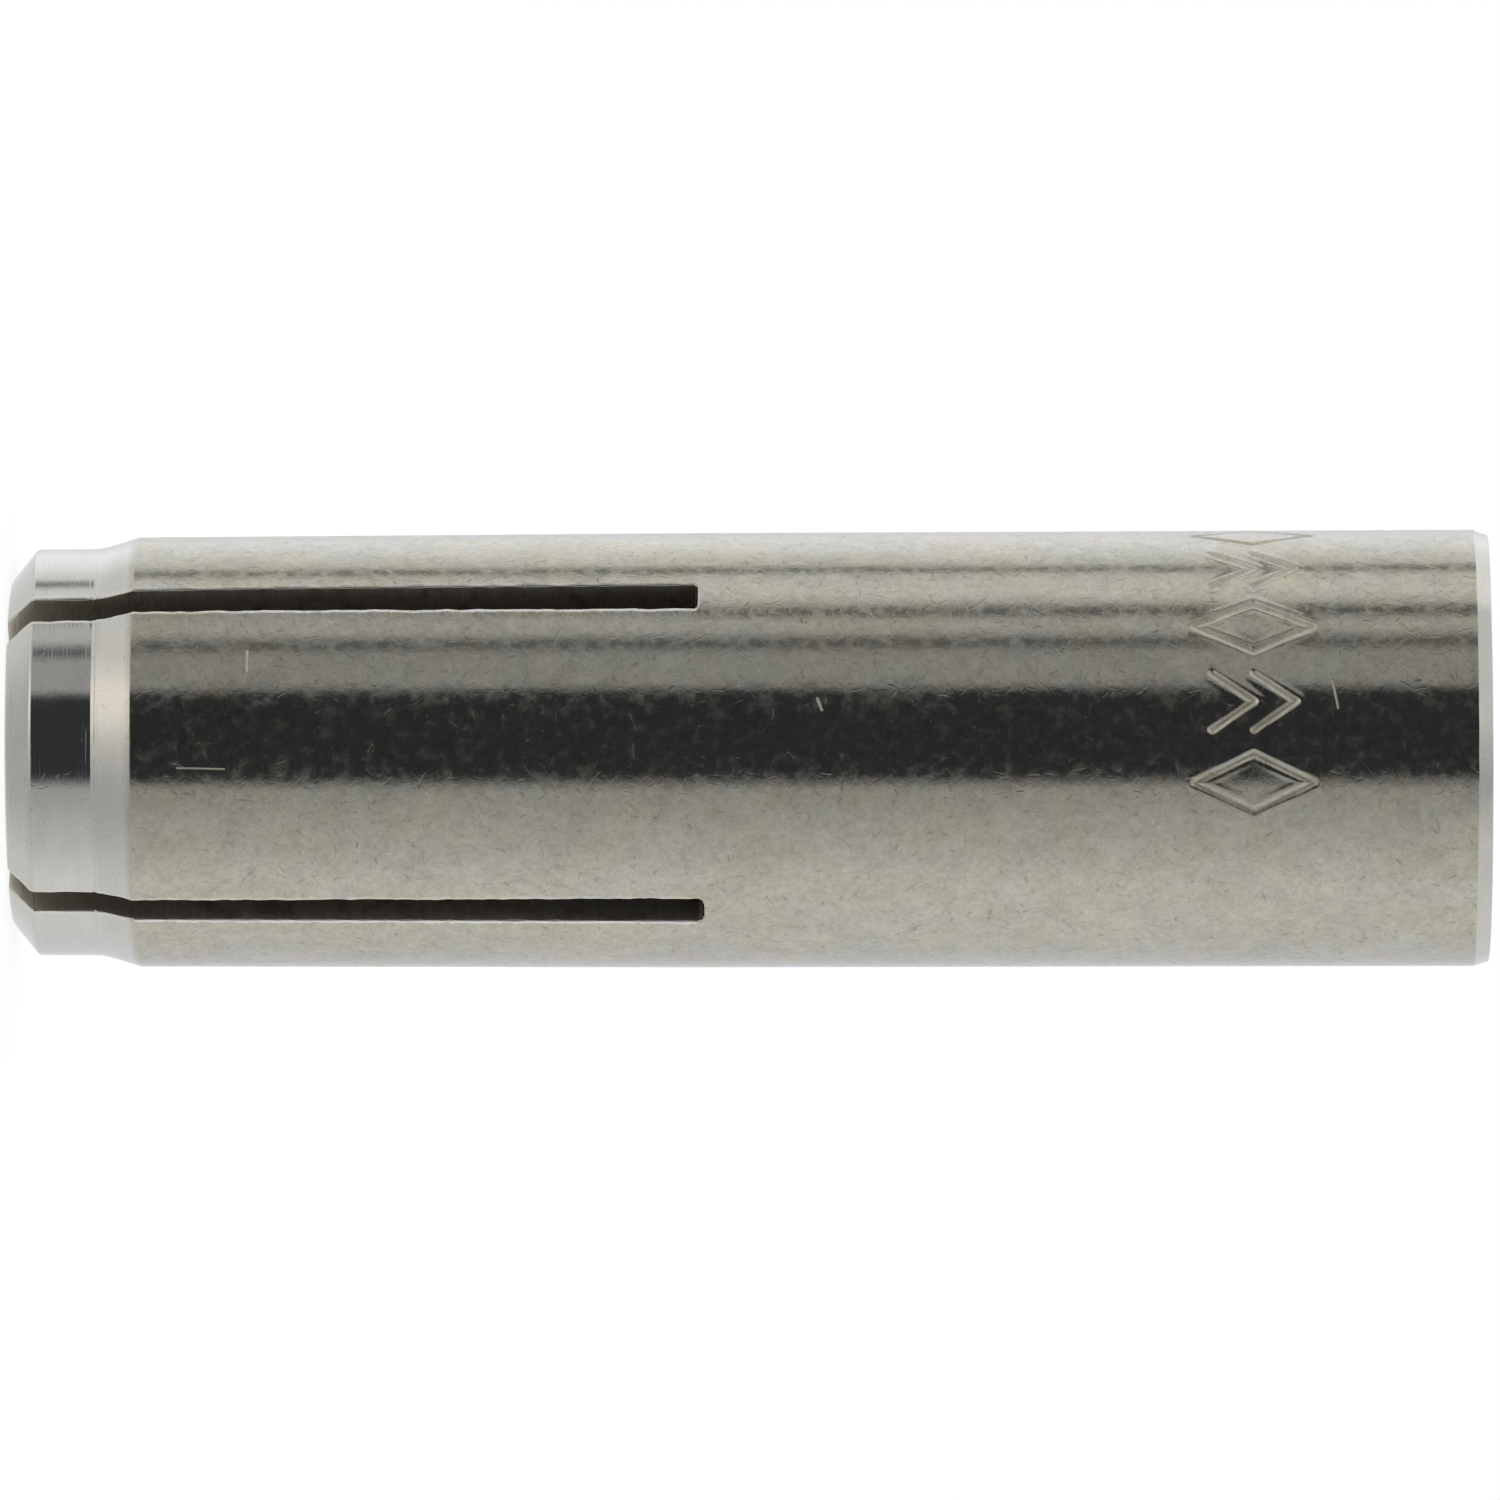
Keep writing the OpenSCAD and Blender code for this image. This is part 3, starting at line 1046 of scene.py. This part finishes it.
def build_plug(scene):
    """The plug: rings on both ends, a plain band, and the cone with broken edges."""
    sizes = scene.anchor_plug
    low = PLUG_LOW[2] / MM
    high = PLUG_HIGH[2] / MM
    band_r = sizes.band_r / MM
    edge = sizes.edge / MM
    cone_z = high - sizes.band_l / MM
    slope = math.tan(sizes.cone_angle)
    small_r = band_r - (cone_z - low) * slope
    face_r = small_r - edge
    foot_r = small_r + edge * slope
    shape = [(0.0, low)]
    shape += [(small_r * part, low) for part in (0.15, 0.35, 0.55, 0.75)]
    shape += [(face_r - 0.05, low), (face_r - 0.01, low + 0.008), (face_r + 0.03, low + 0.04)]
    shape += [(foot_r - 0.04, low + edge - 0.04), (foot_r - 0.008, low + edge - 0.01)]
    shape += [(foot_r + 0.002, low + edge + 0.05)]
    shape += [(band_r - (cone_z - z) * slope, z) for z in steps(low + edge + 0.6, cone_z - 0.05, 0.8)]
    shape += [(band_r - 0.05 * slope, cone_z - 0.05), (band_r, cone_z + 0.05)]
    shape += [(band_r, high - edge - 0.06), (band_r - 0.006, high - edge)]
    shape += [(band_r - 0.04, high - edge + 0.045), (band_r - edge + 0.045, high - 0.04)]
    shape += [(band_r - edge, high - 0.006), (band_r - edge - 0.06, high)]
    shape += [(band_r * part, high) for part in (0.8, 0.6, 0.42)]
    shape += [(0.95, high - 0.002), (0.82, high - 0.03), (0.4, high - 0.14), (0.0, high - 0.16)]
    skin = Skin()
    lathe(skin, shape, PLUG_COLUMNS, "satin")
    return skin.build("dressed_plug", [plug_steel(scene.anchor_colours)])


def tent_walls(turn, tilt):
    """Brightness of the tent's walls, level with the sleeve: a dark gap, panels and thin seams."""
    lower = -turn
    cloth = 0.043 + 0.45 * lower.rise(12.8, 22.2) + 0.16 * lower.rise(22.0, 50.0)
    cloth = cloth + 0.24 * lower.rise(44.0, 82.0) - 0.1 * lower.rise(105.0, 160.0)
    cloth = cloth + 0.38 * turn.rise(29.5, 36.3) + 0.2 * turn.rise(60.0, 69.0)
    cloth = cloth + 0.33 * turn.rise(80.0, 93.0) - 0.06 * turn.rise(97.0, 106.0)
    cloth = cloth + 0.28 * turn.rise(113.0, 136.0) - 0.34 * turn.rise(145.0, 170.0)
    seams = turn.near(58.4, 6.4) * 0.66 + turn.near(78.2, 6.8) * 0.8 * tilt.rise(-4.5, 0.5)
    seams = seams + turn.near(111.0, 5.8) * 0.7
    return cloth * (1.0 - seams * (1.0 - abs(tilt).rise(6.0, 11.0)))


def tent_ends(turn, tilt, above):
    """Brightness of the tent's cloth below and above the sleeve, past its two ends."""
    tip_end = 0.82 + 0.3 * turn.near(33.0, 32.0) - 0.28 * turn.near(-24.0, 44.0)
    tip_end = tip_end - 0.13 * turn.near(-57.0, 34.0)
    mouth_end = 0.77 + 0.3 * turn.rise(80.0, 100.0) - 0.25 * turn.near(-20.0, 44.0)
    mouth_end = mouth_end + 0.07 * (-turn).rise(70.0, 120.0)
    ends = tip_end * (1.0 - above) + mouth_end * above
    underneath = (-tilt).rise(50.0, 75.0)
    return ends * (1.0 - underneath) + 0.55 * underneath


def light_tent(graph):
    """The tent in each direction: its brightness, and where its light is warm or cool."""
    x, y, z = graph.parts(graph.add("TexCoord")["Generated"])
    turn = graph.math("DEGREES", graph.math("ARCTAN2", -x, -y))
    tilt = graph.math("DEGREES", graph.math("ARCSINE", z))
    above = tilt.rise(-6.0, 6.0)
    level = 1.0 - abs(tilt).rise(12.0, 24.0)
    brightness = tent_walls(turn, tilt) * level + tent_ends(turn, tilt, above) * (1.0 - level)
    warm = turn.near(33.0, 60.0) * (1.0 - level) * (1.0 - above)
    cool = abs(turn).rise(112.0, 140.0) * level
    return brightness, warm, cool


def build_world(scene):
    """The light tent as the world, which is plain white wherever the camera sees it."""
    world = bpy.data.worlds.new("light_tent")
    scene.world = world
    world.use_nodes = True
    graph = Graph(world.node_tree)
    brightness, warm, cool = light_tent(graph)
    seen = graph.looked_at()
    strength = seen + (1.0 - seen) * brightness
    tint = graph.mix(brightness.rise(0.04, 0.3), (0.92, 0.98, 1.14), (1.0, 1.0, 1.0))
    tint = graph.mix(cool, tint, (0.985, 1.0, 1.055))
    tint = graph.mix(warm, tint, (1.03, 0.97, 0.91))
    tint = graph.mix(seen, tint, (1.0, 1.0, 1.0))
    cloth = graph.add("Background", {"Color": tint, "Strength": strength})["Background"]
    graph.add("OutputWorld", {"Surface": cloth})


def floor_paper(settings):
    """Matt pale paper, which is white wherever the camera sees it by itself."""
    material, graph = new_material("floor_paper")
    tone = 0.97 + (graph.noise(graph.place(), 0.6, 3.0) - 0.5) * 0.04
    colour = graph.tinted(tuple(settings.floor_colour), tone)
    matt = {"Roughness": 1.0, "Specular IOR Level": 0.0}
    plain = graph.add("BsdfPrincipled", {"Base Color": colour, **matt})["BSDF"]
    white = {"Emission Color": (1.0, 1.0, 1.0), "Emission Strength": 0.84, **matt}
    dim = {"Base Color": (0.24, 0.24, 0.24), **white}
    seen = graph.add("BsdfPrincipled", dim)["BSDF"]
    mixed = graph.add("MixShader", {0: graph.looked_at(), 1: plain, 2: seen})["Shader"]
    graph.add("OutputMaterial", {"Surface": mixed})
    return material


def build_floor(settings):
    """A round pale floor that the anchor stands on, which keeps its shadow."""
    skin = Skin()
    degrees = np.arange(FLOOR_COLUMNS) * 360.0 / FLOOR_COLUMNS
    middle = skin.block([[0.0, 0.0, 0.0]])[0]
    rings = [skin.ring(radius, degrees, 0.0) for radius in (settings.floor_r / MM, 250.0, 80.0, 20.0)]
    skin.sheet(rings, "satin", wrap=True)
    for i in range(FLOOR_COLUMNS):
        skin.face((middle, rings[-1][i], rings[-1][(i + 1) % FLOOR_COLUMNS]), "satin")
    floor = skin.build("floor", [floor_paper(settings)])
    floor.visible_glossy = False


def build_camera(scene, settings):
    """The camera, nearly square on to the sleeve's side, with the mouth to the right."""
    yaw = settings.yaw
    back = Vector((0.0, -math.cos(yaw), math.sin(yaw)))
    right = Vector((0.0, math.sin(yaw), math.cos(yaw)))
    up = back.cross(right)
    tilted_right = right * math.cos(settings.roll) - up * math.sin(settings.roll)
    tilted_up = right * math.sin(settings.roll) + up * math.cos(settings.roll)
    data = bpy.data.cameras.new("camera")
    data.sensor_width = 36.0
    data.lens = settings.distance / settings.picture_w * data.sensor_width
    data.clip_start = 0.01
    data.clip_end = 20.0
    camera = bpy.data.objects.new("camera", data)
    scene.collection.objects.link(camera)
    place = Vector((0.0, 0.0, settings.aim)) + back * settings.distance
    turned = Matrix((tilted_right, tilted_up, back)).transposed().to_4x4()
    camera.matrix_world = Matrix.Translation(place) @ turned
    scene.camera = camera


class ANCHOR_OT_sleeve(bpy.types.Operator):
    """Builds the dressed sleeve with its thread, slots and stamped ornament"""

    bl_idname = "anchor.sleeve"
    bl_label = "Sleeve"

    def execute(self, context):
        sleeve = build_sleeve(context.scene)
        if len(sleeve.data.polygons) < 1000:
            raise RuntimeError("the sleeve's mesh is not complete")
        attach(sleeve, "sleeve")
        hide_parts("sleeve")
        return {"FINISHED"}


class ANCHOR_OT_plug(bpy.types.Operator):
    """Builds the dressed cone plug in the bore"""

    bl_idname = "anchor.plug"
    bl_label = "Cone plug"

    def execute(self, context):
        plug = build_plug(context.scene)
        if len(plug.data.polygons) < 100:
            raise RuntimeError("the plug's mesh is not complete")
        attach(plug, "plug")
        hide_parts("expander_plug")
        return {"FINISHED"}


class ANCHOR_OT_stage(bpy.types.Operator):
    """Builds the light tent, the floor and the camera"""

    bl_idname = "anchor.stage"
    bl_label = "Light tent and camera"

    def execute(self, context):
        scene = context.scene
        scene.view_settings.view_transform = "Standard"
        build_world(scene)
        build_floor(scene.anchor_studio)
        build_camera(scene, scene.anchor_studio)
        if scene.camera is None:
            raise RuntimeError("the camera was not made")
        return {"FINISHED"}


class ANCHOR_PT_panel(bpy.types.Panel):
    """Lists the anchor's operators in the sidebar"""

    bl_idname = "ANCHOR_PT_panel"
    bl_label = "Drop-in anchor"
    bl_space_type = "VIEW_3D"
    bl_region_type = "UI"
    bl_category = "Anchor"

    def draw(self, context):
        column = self.layout.column()
        for operator in OPERATORS:
            column.operator(operator.bl_idname)


GROUPS = {
    "anchor_sleeve": SleeveSizes,
    "anchor_marks": MarkSizes,
    "anchor_plug": PlugSizes,
    "anchor_colours": SteelColours,
    "anchor_studio": StudioSettings,
}
OPERATORS = (ANCHOR_OT_sleeve, ANCHOR_OT_plug, ANCHOR_OT_stage)


def register():
    for group in GROUPS.values():
        bpy.utils.register_class(group)
    for operator in OPERATORS:
        bpy.utils.register_class(operator)
    bpy.utils.register_class(ANCHOR_PT_panel)
    for name, group in GROUPS.items():
        setattr(bpy.types.Scene, name, bpy.props.PointerProperty(type=group))


def unregister():
    for name in GROUPS:
        delattr(bpy.types.Scene, name)
    bpy.utils.unregister_class(ANCHOR_PT_panel)
    for operator in reversed(OPERATORS):
        bpy.utils.unregister_class(operator)
    for group in reversed(list(GROUPS.values())):
        bpy.utils.unregister_class(group)


def main():
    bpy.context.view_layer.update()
    register()
    bpy.ops.anchor.sleeve()
    bpy.ops.anchor.plug()
    bpy.ops.anchor.stage()


if __name__ == "__main__":
    main()
